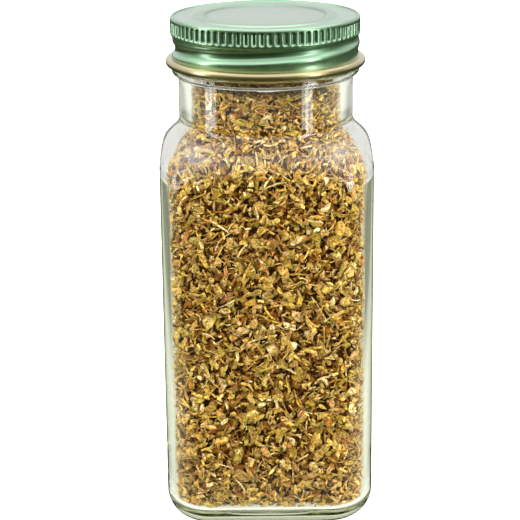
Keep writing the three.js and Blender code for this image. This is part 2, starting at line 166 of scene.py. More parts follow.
class HerbSettings(bpy.types.PropertyGroup):
    """How the flakes are packed, and their colours"""

    seed: number("Seed", "Start of the random draws", 20417)
    leaves: number("Leaves", "Large flakes in each of the two leaf pieces", 5400)
    crumbs: number("Crumbs", "Small flakes", 8200)
    stems: number("Stems", "Bits of stem", 1300)
    broad: share("Broad", "Share of the flakes that are broad bits of leaf", 0.78)
    clearance: length("Clearance", "Least gap between the flakes and the glass", 0.08 * MM)
    top: length("Top", "Height of the filling at its edge", 98.2 * MM)
    mound: length("Mound", "How far the middle stands above the edge", 1.2 * MM)
    olive: colour("Olive", "Greener flakes", (172, 142, 44))
    golden: colour("Golden", "Yellow flakes", (217, 174, 70))
    straw: colour("Straw", "Pale flakes and stems", (240, 214, 158))
    brown: colour("Brown", "Brown flakes", (170, 110, 40))
    rust: colour("Rust", "Reddish flakes", (190, 120, 66))
    shade: colour("Shade", "The dark between the flakes", (38, 13, 2))


class StageSettings(bpy.types.PropertyGroup):
    """Camera and studio"""

    distance: length("Distance", "Camera's distance in front of the jar's axis", 385 * MM)
    height: length("Height", "Camera's height", 175.5 * MM)
    aside: length("Aside", "Camera's offset along X", -1.68 * MM)
    pitch: angle("Pitch", "How far the camera looks down", 17.1)
    roll: angle("Roll", "How far the camera leans", 0.61)
    lens: bpy.props.FloatProperty(
        name="Lens", description="Focal length of the lens", default=121.6, min=1, unit="CAMERA"
    )
    floor: colour("Floor", "Colour of the table", (252, 252, 252))
    # Painted shade: the dark the table is painted in the jar's reflections and through its glass,
    # as under flags.
    flag: colour("Flag", "What the jar reflects of the table in front of it", (40, 46, 24))
    around: colour("Around", "The table as the jar reflects it", (178, 182, 166))
    # Painted shade, as under flags, on the table beside the jar as seen through the glass.
    beside: share("Beside", "How far the flags darken the table beside the jar", 0.76)
    under: colour("Under", "Glow of the table under the jar", (255, 255, 250))
    sky: share("Sky", "Brightness of the room behind the jar", 0.85)
    front: share("Front", "Brightness of the room behind the camera", 0.2)
    dome: share("Dome", "Brightness of the room overhead", 1.6)


class SpiceJarSettings(bpy.types.PropertyGroup):
    """All settings of the spice jar"""

    glass: bpy.props.PointerProperty(type=GlassSettings, name="Glass", description="The glass jar")
    cap: bpy.props.PointerProperty(type=CapSettings, name="Cap", description="The screw cap")
    herb: bpy.props.PointerProperty(type=HerbSettings, name="Herb", description="The filling")
    stage: bpy.props.PointerProperty(type=StageSettings, name="Stage", description="The studio")


# ---- Shapes as functions of angle and height ----


def smooth(x, low, high):
    """Smoothstep: 3 t^2 - 2 t^3 with t = (x - low) / (high - low), held between 0 and 1."""
    t = np.clip((x - low) / (high - low), 0, 1)
    return t * t * (3 - 2 * t)


def hump(x):
    """A bump of height 1 at 0: e to the minus x squared."""
    return np.exp(-np.square(x))


def turns(count):
    """Evenly spaced angles once round."""
    return np.arange(count) * TURN / count


def square_reach(theta, half, corner):
    """Distance from the axis to a square with rounded corners, in the direction theta.

    On a flat it is half / max(|cos|, |sin|). On a corner, with m = half - corner, it is
    m (|cos| + |sin|) + sqrt(corner^2 - m^2 (|cos| - |sin|)^2). With corner = half it is a circle.
    """
    c, s = np.abs(np.cos(theta)), np.abs(np.sin(theta))
    large, small = np.maximum(c, s), np.minimum(c, s)
    middle = half - corner
    on_corner = middle * (c + s) + np.sqrt(np.maximum(corner**2 - (middle * (c - s)) ** 2, 0))
    return np.where(half * small <= middle * large, half / large, on_corner)


def lesser(a, b, blend):
    """The lesser of two reaches, rounded where they differ by less than blend: less its square
    over four blends."""
    return np.minimum(a, b) - np.maximum(blend - np.abs(a - b), 0) ** 2 / (4 * blend)


def outer_reach(glass, theta, z):
    """Reach of the glass's outside: the square body, cut off above by the shoulder's round dome
    and rounded under by the heel's quarter circle."""
    low = np.clip(1 - z / glass.heel, 0, 1)
    inset = glass.heel * (1 - np.sqrt(1 - low**2))
    walls = square_reach(theta, glass.half_width - inset, glass.corner - inset)
    narrowing = smooth(z, glass.dome_low, glass.dome_top)
    dome = glass.dome_far + (glass.neck - glass.dome_far) * narrowing
    return lesser(dome, walls, glass.blend)


def inner_reach(glass, theta, z, gap=0.0):
    """Reach of the glass's inside less a gap: the walls, cut off above by the inner dome and
    tucked in near the floor by the inner heel's quarter circle."""
    low = np.clip((glass.floor + glass.inner_heel - z) / glass.inner_heel, 0, 1)
    inset = glass.wall + glass.inner_heel * (1 - np.sqrt(1 - low**2)) + gap
    walls = square_reach(theta, glass.half_width - inset, glass.corner - inset)
    narrowing = smooth(z, glass.inner_low, glass.inner_top)
    dome = glass.inner_far + (glass.bore - glass.inner_far) * narrowing - gap
    return lesser(dome, walls, glass.blend)


def within(theta, start):
    """The same direction as theta, within one turn from start."""
    return start + np.mod(theta - start, TURN)


def stretch(theta, start, end, fade_in, fade_out):
    """1 between start and end, easing to 0 over the fades at both ends."""
    return smooth(theta, start, start + fade_in) * (1 - smooth(theta, end - fade_out, end))


def thread_height(cap, theta):
    """Height of the cap's groove: it rises by one pitch a turn from its height at the front."""
    return cap.thread_front + cap.pitch * (theta - FRONT) / TURN


# ---- Meshes ----


def signed_volume(points, faces):
    """A sixth of the sum of a . (b x c) over the faces' fan triangles: positive if facing out."""
    total = 0.0
    for group in faces:
        for k in range(1, group.shape[1] - 1):
            a, b, c = (points[group[:, i]] for i in (0, k, k + 1))
            total += np.einsum("ij,ij->", a, np.cross(b, c))
    return total / 6


def add_object(name, data):
    """A new object in the scene."""
    thing = bpy.data.objects.new(name, data)
    bpy.context.scene.collection.objects.link(thing)
    return thing


def piece_from(name, points, faces, attributes=None, smooth=True):
    """An object from points and arrays of faces, turned to face out, with attributes a point."""
    if signed_volume(points, faces) < 0:
        faces = [group[:, ::-1] for group in faces]
    corners = np.concatenate([group.ravel() for group in faces]).astype(np.int32)
    sizes = np.concatenate([np.full(len(group), group.shape[1]) for group in faces])
    starts = np.concatenate([[0], np.cumsum(sizes)[:-1]]).astype(np.int32)
    mesh = bpy.data.meshes.new(name)
    mesh.vertices.add(len(points))
    mesh.vertices.foreach_set("co", points.astype(np.float32).ravel())
    mesh.loops.add(len(corners))
    mesh.loops.foreach_set("vertex_index", corners)
    mesh.polygons.add(len(sizes))
    mesh.polygons.foreach_set("loop_start", starts)
    mesh.update(calc_edges=True)
    if smooth:
        mesh.shade_smooth()
    for key, values in (attributes or {}).items():
        tinted = values.ndim == 2
        layer = mesh.attributes.new(key, "FLOAT_COLOR" if tinted else "FLOAT", "POINT")
        layer.data.foreach_set("color" if tinted else "value", values.astype(np.float32).ravel())
    if mesh.validate():
        raise RuntimeError(f"{name} has faces that aren't valid")
    return add_object(name, mesh)


def shut_grid(rows, low, high):
    """Points and faces of a closed surface: loops of points, shut by a point at each end.

    rows has one loop of points in each row, and neighbouring points and loops are joined by quads.
    """
    count, columns = rows.shape[:2]
    points = np.concatenate([rows.reshape(-1, 3), [low, high]])
    ring = np.arange(columns)
    after = (ring + 1) % columns
    first = np.arange(count - 1)[:, None] * columns
    quads = np.stack(
        [first + ring, first + after, first + columns + after, first + columns + ring], axis=-1
    ).reshape(-1, 4)
    last = (count - 1) * columns
    bottom = np.stack([after, ring, np.full(columns, count * columns)], axis=-1)
    top = np.stack([last + ring, last + after, np.full(columns, count * columns + 1)], axis=-1)
    return points, [quads, np.concatenate([bottom, top])]


def round_the_axis(reach, theta, z):
    """Points at a distance reach from the axis in the direction theta, at height z."""
    return np.stack([reach * np.cos(theta), reach * np.sin(theta), z + 0 * reach], axis=-1)


def quarter(count):
    """Angles over a quarter circle, both ends included."""
    return np.linspace(0, math.pi / 2, count)


def finish(thing, material, body, slot, *nodes):
    """Gives a piece its material and the body it rides on, and hides the nodes it stands for. Its
    slot is not used.
    """
    thing.data.materials.append(material)
    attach(thing, body)
    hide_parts(*nodes)


# ---- Materials ----


class Signal:
    """A value in a material. Arithmetic on it adds Math nodes."""

    def __init__(self, paint, socket):
        self.paint = paint
        self.socket = socket

    def math(self, operation, *others):
        values = dict(enumerate((self, *others)))
        return self.paint.add("Math", values, {"operation": operation})

    def __add__(self, other):
        return self.math("ADD", other)

    def __mul__(self, other):
        return self.math("MULTIPLY", other)

    def __rsub__(self, other):
        return (self * -1) + other

    def greater(self, other):
        return self.math("MAXIMUM", other)

    def part(self, name):
        """Another output of the same node."""
        return Signal(self.paint, self.socket.node.outputs[name])


class Paint:
    """The nodes of a new material or world. One method adds any node."""

    def __init__(self, owner):
        self.owner = owner
        owner.use_nodes = True
        self.tree = owner.node_tree
        self.tree.nodes.clear()

    def add(self, kind, values=None, settings=None, output=0):
        """A node of a kind: its settings first, then the values or links of its sockets."""
        node = self.tree.nodes.new("ShaderNode" + kind)
        for key, value in (settings or {}).items():
            if key == "stops":
                self.set_stops(node.color_ramp.elements, value)
            else:
                setattr(node, key, value)
        for key, value in (values or {}).items():
            if isinstance(value, Signal):
                self.tree.links.new(value.socket, node.inputs[key])
            else:
                node.inputs[key].default_value = value
        return Signal(self, node.outputs[output] if node.outputs else None)

    @staticmethod
    def set_stops(elements, stops):
        while len(elements) < len(stops):
            elements.new(1)
        for element, (place, value) in zip(elements, stops):
            element.position = place
            element.color = (value, value, value, 1)

    def place(self):
        return self.add("TexCoord").part("Object")

    def noise(self, scale, detail=3, roughness=0.5):
        values = {"Vector": self.place(), "Scale": scale, "Detail": detail, "Roughness": roughness}
        return self.add("TexNoise", values)

    def ramp(self, value, *stops):
        return self.add("ValToRGB", {"Fac": value}, {"stops": stops})

    def mix(self, factor, first, second, blend="MIX"):
        settings = {"data_type": "RGBA", "blend_type": blend}
        return self.add("Mix", {0: factor, 6: first, 7: second}, settings, output=2)

    def attribute(self, name, output="Fac"):
        return self.add("Attribute", None, {"attribute_name": name}).part(output)

    def bump(self, height, strength, distance):
        values = {"Height": height, "Strength": strength, "Distance": distance}
        return self.add("Bump", values)

    def surface(self, shader, volume=None):
        values = {"Surface": shader}
        if volume:
            values["Volume"] = volume
        self.add("OutputMaterial", values)
        return self.owner


def opaque(rgb):
    return (*rgb, 1)


def clear_glass(glass):
    """Smooth moulded glass, faintly wavy, that turns green where the eye looks along the wall.
    Light for the filling passes straight through it."""
    paint = Paint(bpy.data.materials.new("clear_moulded_glass"))
    waves = paint.bump(paint.noise(60, 2), 0.02, 0.4 * MM)
    body = paint.add("BsdfPrincipled", {
        "Base Color": (1, 1, 1, 1), "Roughness": 0, "IOR": 1.5, "Transmission Weight": 1,
        "Normal": waves,
    })
    gone = paint.add("BsdfTransparent", {"Color": (0.97, 0.98, 0.97, 1)})
    path = paint.add("LightPath")
    passing = path.part("Is Shadow Ray").greater(path.part("Is Diffuse Ray"))
    shader = paint.add("MixShader", {0: passing, 1: body, 2: gone})
    tint = paint.add("VolumeAbsorption", {"Color": opaque(glass.tint), "Density": 24.0})
    return paint.surface(shader, tint)


def dried_leaf():
    """Matt dried leaf: each flake's own colour, darker in blotches that are partly mottling and
    partly painted shade, paler along its edges as a painted highlight, and wrinkled."""
    paint = Paint(bpy.data.materials.new("curled_dried_leaf"))
    # Painted shade in part in the dark blotches, and a painted highlight in the pale colour of the
    # rims.
    mottle_and_shade, torn = opaque((0.28, 0.15, 0.04)), opaque(linear(238, 205, 124))
    own = paint.attribute("leaf_colour", "Color")
    deep = paint.mix(1.0, own, mottle_and_shade, "MULTIPLY")
    tone = paint.mix(paint.ramp(paint.noise(2000, 4, 0.65), (0.38, 0), (0.54, 1)), deep, own)
    # Painted highlight: paler towards each flake's rim.
    edge = paint.ramp(paint.attribute("torn_edge"), (0.35, 0), (0.85, 0.72))
    base = paint.mix(edge, tone, paint.mix(0.55, own, torn))
    wrinkles = paint.bump(paint.noise(1500, 3), 0.8, 0.22 * MM)
    leaf = paint.add("BsdfPrincipled", {
        "Base Color": base, "Roughness": 0.62, "Normal": wrinkles, "Specular IOR Level": 0.2,
    })
    return paint.surface(leaf)


def packed_shade(herb):
    """The depth between the flakes, painted dark as shade and broken by brown crumbs."""
    paint = Paint(bpy.data.materials.new("packed_leaf_shade"))
    crumbs = paint.noise(900, 4, 0.65)
    tone = paint.mix(
        paint.ramp(crumbs, (0.47, 0), (0.6, 0.85)), opaque(herb.shade), opaque(herb.brown)
    )
    relief = paint.bump(crumbs, 0.8, 0.5 * MM)
    dark = paint.add("BsdfPrincipled", {
        "Base Color": tone, "Roughness": 0.9, "Normal": relief, "Specular IOR Level": 0,
    })
    return paint.surface(dark)


def lacquered_tin(cap):
    """Bright tinplate under clear green lacquer, gold on the rolled edge and inside, with a
    painted reflection on the flat of the top and painted shade in the slots, the groove and the
    edges.
    """
    paint = Paint(bpy.data.materials.new("lacquered_tinplate"))
    cloud = paint.ramp(paint.noise(160, 3), (0.3, 0.93), (0.7, 1.04))
    # Painted reflection: the flat of the top is painted pale green where it mirrors the light
    # overhead.
    green = paint.mix(paint.attribute("flat_top"), opaque(cap.green), opaque(cap.pale))
    both = paint.mix(paint.attribute("gold_share"), green, opaque(cap.gold))
    # Painted shade: darker green in the slots, the groove, the ring's crease, the edges and under
    # the rolled edge.
    painted_shade = paint.mix(paint.attribute("slot_depth") * 0.8, both, opaque(cap.painted_shade_green))
    base = paint.mix(1.0, painted_shade, cloud, "MULTIPLY")
    smear = paint.ramp(paint.noise(420, 4, 0.65), (0.35, 0.33), (0.75, 0.45))
    skin = paint.bump(paint.noise(1800, 2), 0.06, 0.03 * MM)
    metal = paint.add("BsdfPrincipled", {
        "Base Color": base, "Metallic": 1, "Roughness": smear, "Normal": skin,
        "Coat Weight": 1, "Coat Roughness": 0.2, "Coat IOR": 1.8,
    })
    return paint.surface(metal)


def liner_foam():
    """Soft white sealing disc with a fine grain."""
    paint = Paint(bpy.data.materials.new("liner_foam"))
    dull, white = opaque(linear(222, 220, 210)), opaque(linear(240, 239, 232))
    grain = paint.noise(2500, 2)
    tone = paint.mix(paint.ramp(grain, (0.35, 0), (0.65, 1)), dull, white)
    foam = paint.add("BsdfPrincipled", {
        "Base Color": tone, "Roughness": 0.7, "Normal": paint.bump(grain, 0.3, 0.05 * MM),
    })
    return paint.surface(foam)


def light_table(stage):
    """A pale, glowing table. The jar sees it dimmer, and its reflections of the table get painted
    shade as under flags. Through the glass the same painted shade falls in front of y = -3 to -6
    cm and from x = 9 to 32 cm at both sides; the table is pale again from 38 cm away, and it glows
    within 3 cm of the axis. Ramps run from 0 to 1, so squares of distances in metres are scaled to
    fit them."""
    paint = Paint(bpy.data.materials.new("light_table"))
    path = paint.add("LightPath")
    direct, through = path.part("Is Camera Ray"), path.part("Is Transmission Ray")
    split = paint.add("SeparateXYZ", {0: paint.place()})
    x, y = split.part("X"), split.part("Y")
    beside = paint.ramp(
        (x * x) * 8, (0.06, 0), (0.16, stage.beside), (0.45, stage.beside), (0.8, 0)
    )
    squared = x * x + y * y
    far = paint.ramp(squared * 2, (0.29, 0), (0.4, 0.24)) * through
    front = paint.ramp(y * 4 + 0.5, (0.26, 1), (0.38, 0))
    # Painted shade as under flags: the table is dark in the jar's reflections, and through the
    # glass in front of and beside the jar.
    mirrored = path.part("Is Glossy Ray") * (1 - through)
    painted_flag_mask = mirrored + front.greater(beside) * through
    under = paint.ramp(squared * 400, (0.35, 1), (0.55, 0)) * through
    around = paint.mix(painted_flag_mask, opaque(stage.around), opaque(stage.flag))
    clear = direct.greater(far)
    pale = paint.mix(clear, around, opaque(stage.floor))
    glow = paint.mix(under, (0, 0, 0, 1), opaque(stage.under))
    paper = paint.add("BsdfPrincipled", {
        "Base Color": pale, "Roughness": 0.9, "Specular IOR Level": 0.1,
        "Emission Color": paint.mix(clear, glow, opaque(stage.floor)), "Emission Strength": 0.5,
    })
    return paint.surface(paper)


# ---- Glass jar ----

GLASS_COLUMNS = 240


def hollow_rows(glass):
    """The hollow under the base, part of an ellipse: z = depth sqrt(1 - share^2)."""
    part = np.linspace(0.08, 1, 16)
    return part * glass.hollow, glass.hollow_depth * np.sqrt(1 - part**2)


def ring_rows(glass):
    """The fillet under the transfer ring, the ring with rounded edges, and the fillet above it."""
    soft, under = 0.35 * MM, 0.8 * MM
    a = quarter(6)
    below = glass.neck + under * (1 - np.cos(a)), glass.ring_low - under * (1 - np.sin(a))
    low = glass.ring - soft * (1 - np.sin(a)), glass.ring_low + soft * (1 - np.cos(a))
    high = glass.ring - soft * (1 - np.cos(a)), glass.ring_top - soft * (1 - np.sin(a))
    foot = glass.thread_root + soft * (1 - np.sin(a)), glass.ring_top + soft * (1 - np.cos(a))
    return (np.concatenate(side) for side in zip(below, low, high, foot))


def rim_rows(glass):
    """The rounded rim, over to the bore."""
    soft = 0.6 * MM
    a = quarter(7)
    radius = np.concatenate([
        glass.thread_root - soft * (1 - np.cos(a)), glass.bore + soft * (1 - np.sin(a)),
    ])
    z = np.concatenate([glass.rim - soft * (1 - np.sin(a)), glass.rim - soft * (1 - np.cos(a))])
    return radius, z


def floor_rows(glass):
    """The inner floor: z = floor + rise (1 - share^2), a low dome."""
    part = np.linspace(1, 0.08, 10)
    return part * glass.floor_radius, glass.floor + glass.floor_rise * (1 - part**2)


def glass_thread(glass, cap, theta, z):
    """The ridge on the finish: the cap's helix raised by its play, one and a fifth turns long. Its
    section is e to the minus (d / w)^4 at d from its middle, and its ends taper away."""
    start, end, fade = math.radians(-130), math.radians(300), math.radians(30)
    play, half_width = 2.4 * MM, 0.72 * MM
    ridge = np.zeros(np.broadcast(theta, z).shape)
    for lap in (-1, 0):
        along = theta + lap * TURN
        height = thread_height(cap, along) + play
        section = hump(((z - height) / half_width) ** 2)
        ridge = np.maximum(ridge, section * stretch(along, start, end, fade, fade))
    return (glass.thread_crest - glass.thread_root) * ridge


def glass_surface(glass, cap):
    """The whole jar as one closed surface, up the outside, over the rim and down the inside."""
    theta = turns(GLASS_COLUMNS)[None, :]
    under_ring, over_ring, under_rim, in_bore = 0.9 * MM, 0.45 * MM, 0.7 * MM, 1.5 * MM
    rows = []

    def add(reach, z):
        reach = np.broadcast_to(reach, (len(reach), theta.shape[1]))
        rows.append(round_the_axis(reach, theta, z))

    def hoops(pairs):
        add(*(side[:, None] for side in pairs))

    hoops(hollow_rows(glass))
    heights = np.concatenate([
        glass.heel * (1 - np.cos(quarter(18))),
        np.linspace(glass.heel, glass.dome_low, 16)[1:],
        np.linspace(glass.dome_low, glass.dome_top, 50)[1:],
        np.linspace(glass.dome_top, glass.ring_low - under_ring, 5)[1:],
    ])[:, None]
    add(outer_reach(glass, theta, heights), heights)
    hoops(ring_rows(glass))
    heights = np.linspace(glass.ring_top + over_ring, glass.rim - under_rim, 44)[:, None]
    add(glass.thread_root + glass_thread(glass, cap, theta, heights), heights)
    hoops(rim_rows(glass))
    heights = np.concatenate([
        np.linspace(glass.rim - in_bore, glass.inner_top, 8),
        np.linspace(glass.inner_top, glass.inner_low, 46)[1:],
        np.linspace(glass.inner_low, glass.floor + glass.inner_heel, 14)[1:],
        glass.floor + glass.inner_heel * (1 - np.sin(quarter(12)[1:])),
    ])[:, None]
    add(inner_reach(glass, theta, heights), heights)
    hoops(floor_rows(glass))
    low, high = (0, 0, glass.hollow_depth), (0, 0, glass.floor + glass.floor_rise)
    return shut_grid(np.concatenate(rows), low, high)


# ---- Screw cap ----

COLUMNS_A_SLOT = 9


def grip_reach(cap, theta, z):
    """Radius of the grip band: pressed in along upright slots with round ends.

    With u the distance from the nearest slot's middle line and v the distance past its ends, the
    slot's depth falls from full to nothing as sqrt(u^2 + v^2) goes from bed to brim.
    """
    step = TURN / cap.slots
    low, high = 110.55 * MM, 112.45 * MM
    bed, brim = 0.12 * MM, 0.62 * MM
    u = cap.grip * (np.mod(theta + step / 2, step) - step / 2)
    v = np.maximum(np.maximum(low - z, z - high), 0)
    return cap.grip - cap.grip_depth * (1 - smooth(np.hypot(u, v), bed, brim))


def skirt_reach(cap, theta, z):
    """Radius of the skirt. With d the height above the helix or below it and w a half width, the
    rolled thread's groove is pressed in by e to the minus |d / w|^3, and the swelling under it
    is pressed out by e to the minus (d / w)^2. Both ease out at their ends."""
    groove_half, bulge_half, bulge_below = 1.1 * MM, 0.9 * MM, 1.55 * MM
    start, end, fade_in, fade_out = np.radians([20, 345, 30, 55])
    groove = within(theta, start)
    deep = stretch(groove, start, end, fade_in, fade_out)
    inward = deep * hump(np.abs((z - thread_height(cap, groove)) / groove_half) ** 1.5)
    start, end, fade_in, fade_out = np.radians([165, 405, 35, 45])
    bulge = within(theta, start)
    full = stretch(bulge, start, end, fade_in, fade_out)
    middle = thread_height(cap, bulge) - bulge_below
    outward = full * hump((z - middle) / bulge_half)
    return cap.skirt + cap.bulge * outward - cap.groove * inward


def cap_surface(cap):
    """The cap as one closed surface: over the top, down the grip band and skirt, round the rolled
    edge and up the inside. Also the shares of gold, of pale green painted as a reflection and of
    painted shade at each point."""
    theta = turns(cap.slots * COLUMNS_A_SLOT)[None, :]
    rows, gold, flat, slot = [], [], [], []

    def add(radius, z, gold_share=0.0, painted_reflection_share=0.0, painted_shade_share=0.0):
        radius = np.broadcast_to(radius, (radius.shape[0], theta.shape[1]))
        rows.append(round_the_axis(radius, theta, z))
        for shares, value in ((gold, gold_share), (flat, painted_reflection_share), (slot, painted_shade_share)):
            shares.append(np.broadcast_to(value, radius.shape))

    def column(*values):
        return np.concatenate([np.atleast_1d(value) for value in values])[:, None]

    # The flat top with its raised ring, and the edge
    slope, middle, border = 0.55 * MM, 1.5 * MM, np.array([18, 19.9]) * MM
    inner, outer = cap.ring - cap.ring_half_width, cap.ring + cap.ring_half_width
    climb, fall = (inner - slope, inner + slope), (outer - slope, outer + slope)
    radius = column(
        np.linspace(middle, inner - 1.5 * slope, 3), np.linspace(*climb, 7), cap.ring,
        np.linspace(*fall, 7), np.linspace(*border, 3),
    )
    raised = smooth(radius, *climb) - smooth(radius, *fall)
    # Painted reflection: the flat is painted pale, less so outside the ring and not on the ring.
    pale = np.where(radius < cap.ring, 1.0, 0.85) * (1 - raised)
    # Painted shade on the raised ring, darkest in the crease at its inner edge.
    gathered = np.maximum(0.7 * raised, 1.2 * hump((radius - inner) / (0.6 * MM)))
    add(radius, cap.panel + cap.ring_rise * raised, painted_reflection_share=pale, painted_shade_share=gathered)
    # Painted shade on the lip and on the rounding down to the grip band.
    lip, lip_foot, lip_reach = quarter(4), 20.05 * MM, 0.3 * MM
    add(column(lip_foot + lip_reach * np.sin(lip)),
        column(cap.top - (cap.top - cap.panel) * (1 - np.sin(lip))), painted_shade_share=0.9)
    turn, rounding = quarter(7)[1:], 0.6 * MM
    add(column(cap.grip - rounding * (1 - np.sin(turn))),
        column(cap.top - rounding * (1 - np.cos(turn))), painted_shade_share=0.5)

    # The grip band, then the skirt, heights in millimetres
    grip_top, grip_low, skirt_top, skirt_low = 112.98, 109.9, 109.75, 104.4
    neck_low, gilt_top, tuck = 109.1, 104.75, 0.05
    z = np.linspace(grip_top, grip_low, 24)[:, None] * MM
    reach = grip_reach(cap, theta, z)
    # Painted shade in the slots, as deep as they are.
    add(reach, z, painted_shade_share=(cap.grip - reach) / cap.grip_depth)
    z = np.linspace(skirt_top, skirt_low, 40)[:, None] * MM
    under = smooth(z, neck_low * MM, skirt_top * MM)
    gilt = 1 - smooth(z, skirt_low * MM, gilt_top * MM)
    reach = skirt_reach(cap, theta, z)
    # Painted shade in the thread's groove, as deep as it is pressed in.
    pressed = np.clip((cap.skirt - reach) / cap.groove, 0, 1)
    add(reach + (cap.grip - tuck * MM - reach) * under, z, gold_share=gilt, painted_shade_share=pressed)

    # The rolled edge, with painted shade on its underside, then up the inside
    turn = np.radians(np.linspace(130, -150, 17))
    shaded = smooth(-turn, math.radians(5), math.radians(50))[:, None]
    add(column(cap.curl + cap.curl_round * np.cos(turn)),
        column(cap.curl_height + cap.curl_round * np.sin(turn)), gold_share=1.0, painted_shade_share=shaded)
    skirt_heights, rib_heights, ceiling_radii = (103.6, 109.4), (110, 112, 112.6), (19.8, 10)
    z = np.linspace(*skirt_heights, 18)[:, None] * MM
    add(skirt_reach(cap, theta, z) - cap.sheet, z, gold_share=1.0)
    z = column(rib_heights) * MM
    add(np.full_like(z, cap.grip - cap.grip_depth - cap.sheet), z, gold_share=1.0)
    ceiling = cap.panel - cap.sheet
    radius = column(ceiling_radii) * MM
    add(radius, np.full_like(radius, ceiling), gold_share=1.0)

    points, faces = shut_grid(np.concatenate(rows), (0, 0, cap.panel), (0, 0, ceiling))
    shares = {
        "gold_share": np.concatenate([np.concatenate(gold).ravel(), [0, 1]]),
        "flat_top": np.concatenate([np.concatenate(flat).ravel(), [1, 0]]),
        "slot_depth": np.concatenate([np.concatenate(slot).ravel(), [0, 0]]),
    }
    return points, faces, shares


# ---- Filling ----


def fill_rows(glass, herb, inset, columns):
    """The skin of the filling, set in by inset: the floor, the inner heel, walls, shoulder and
    neck, and a mound at the top, z = edge + mound (1 - share^2)."""
    theta = turns(columns)[None, :]
    floor = glass.floor + herb.clearance + inset
    top = herb.top - inset
    z = np.concatenate([
        floor + glass.inner_heel * (1 - np.cos(quarter(9))),
        np.linspace(floor + glass.inner_heel, glass.inner_low, 60)[1:],
        np.linspace(glass.inner_low, top, 34)[1:],
    ])[:, None]
    walls = inner_reach(glass, theta, z, herb.clearance + inset)
    part = np.linspace(0.12, 0.96, 8)[:, None]
    bottom = round_the_axis(part * walls[:1], theta, z[0] + glass.floor_rise * (1 - part**2))
    part = part[::-1]
    mound = round_the_axis(part * walls[-1:], theta, top + herb.mound * (1 - part**2))
    return np.concatenate([bottom, round_the_axis(walls, theta, z), mound])


def packed_core(glass, herb, random):
    """The mass behind the flakes: the skin set in by 2 mm, roughened at random."""
    spread, most = 0.35 * MM, 0.9 * MM
    rows = fill_rows(glass, herb, inset=2.0 * MM, columns=150)
    centre = rows.mean(axis=(0, 1))
    away = rows - centre
    away /= np.linalg.norm(away, axis=-1, keepdims=True)
    rough = random.normal(0, spread, rows.shape[:2])
    rows = rows + away * np.clip(rough, -most, most)[..., None]
    low, high = rows[0].mean(axis=0), rows[-1].mean(axis=0)
    return shut_grid(rows, low, high)


class Skin:
    """The skin of the filling, to scatter flakes over in proportion to its area, and up to 1.7
    times as densely on the shoulder."""

    def __init__(self, glass, herb):
        shoulder, spread, denser = 88 * MM, 6 * MM, 0.7
        rows = fill_rows(glass, herb, inset=0.0, columns=240)
        self.rows = np.concatenate([rows, rows[:, :1]], axis=1)
        along = self.rows[1:, :-1] - self.rows[:-1, :-1]
        across = self.rows[:-1, 1:] - self.rows[:-1, :-1]
        out = np.cross(across, along)
        area = np.linalg.norm(out, axis=-1)
        self.normal = out / np.maximum(area, 1e-12)[..., None]
        area = area * (1 + denser * hump((rows[:-1, :, 2] - shoulder) / spread))
        self.share = np.cumsum(area.ravel()) / area.sum()

    def scatter(self, count, random):
        """Places and outward directions, with one random draw in each of count equal areas."""
        draw = (np.arange(count) + random.random(count)) / count
        cell = np.searchsorted(self.share, draw).clip(0, len(self.share) - 1)
        i, j = np.divmod(cell, self.normal.shape[1])
        u, v = random.random((2, count, 1))
        low = self.rows[i, j] * (1 - v) + self.rows[i, j + 1] * v
        high = self.rows[i + 1, j] * (1 - v) + self.rows[i + 1, j + 1] * v
        return low * (1 - u) + high * u, self.normal[i, j]


def flake_grid(across):
    """A flake's outline as a grid: a tip, three stations and a tip, `across` points wide.

    Returns u along and v across for each point, which side of the sheet it is on (1, -1, or 0 at
    the edge), the point it lies under or is, and the triangles of the closed flake.
    """
    stations, spread = (-0.55, 0.0, 0.55), np.linspace(-1, 1, across)
    points = [(-1, 0, 0)] + [(u, v, int(abs(v) < 1)) for u in stations for v in spread]
    tip = len(points)
    points.append((1, 0, 0))
    under, twin = {}, list(range(len(points)))
    for i in range(len(stations)):
        for j in range(1, across - 1):
            under[(i, j)] = len(points)
            top = 1 + i * across + j
            points.append((*points[top][:2], -1))
            twin.append(top)

    def index(i, j, below):
        return under[(i, j)] if below and (i, j) in under else 1 + i * across + j

    triangles = []
    for below in (False, True):
        found = []
        for j in range(across - 1):
            found.append((0, index(0, j + 1, below), index(0, j, below)))
            found.append((tip, index(2, j, below), index(2, j + 1, below)))
            for i in range(len(stations) - 1):
                a, b = index(i, j, below), index(i, j + 1, below)
                c, d = index(i + 1, j + 1, below), index(i + 1, j, below)
                found.extend([(a, b, c), (a, c, d)])
        triangles.extend([t[::-1] for t in found] if below else found)
    return *np.array(points).T, np.array(twin), np.array(triangles)


def stem_grid(sides=5):
    """A stem's grid: rings of points at four stations, shut by a point at each end."""
    stations = np.array([-0.96, -0.35, 0.35, 0.96])
    u = np.concatenate([np.repeat(stations, sides), [-1.0, 1.0]])
    ring = np.tile(turns(sides), len(stations))
    v = np.concatenate([np.cos(ring), [0, 0]])
    w = np.concatenate([np.sin(ring), [0, 0]])
    loops = np.stack([u, v, w], axis=-1)[:-2].reshape(len(stations), sides, 3)
    _, (quads, ends) = shut_grid(loops, (0, 0, 0), (0, 0, 0))
    triangles = np.concatenate([quads[:, [0, 1, 2]], quads[:, [0, 2, 3]], ends])
    return u, v, w, triangles


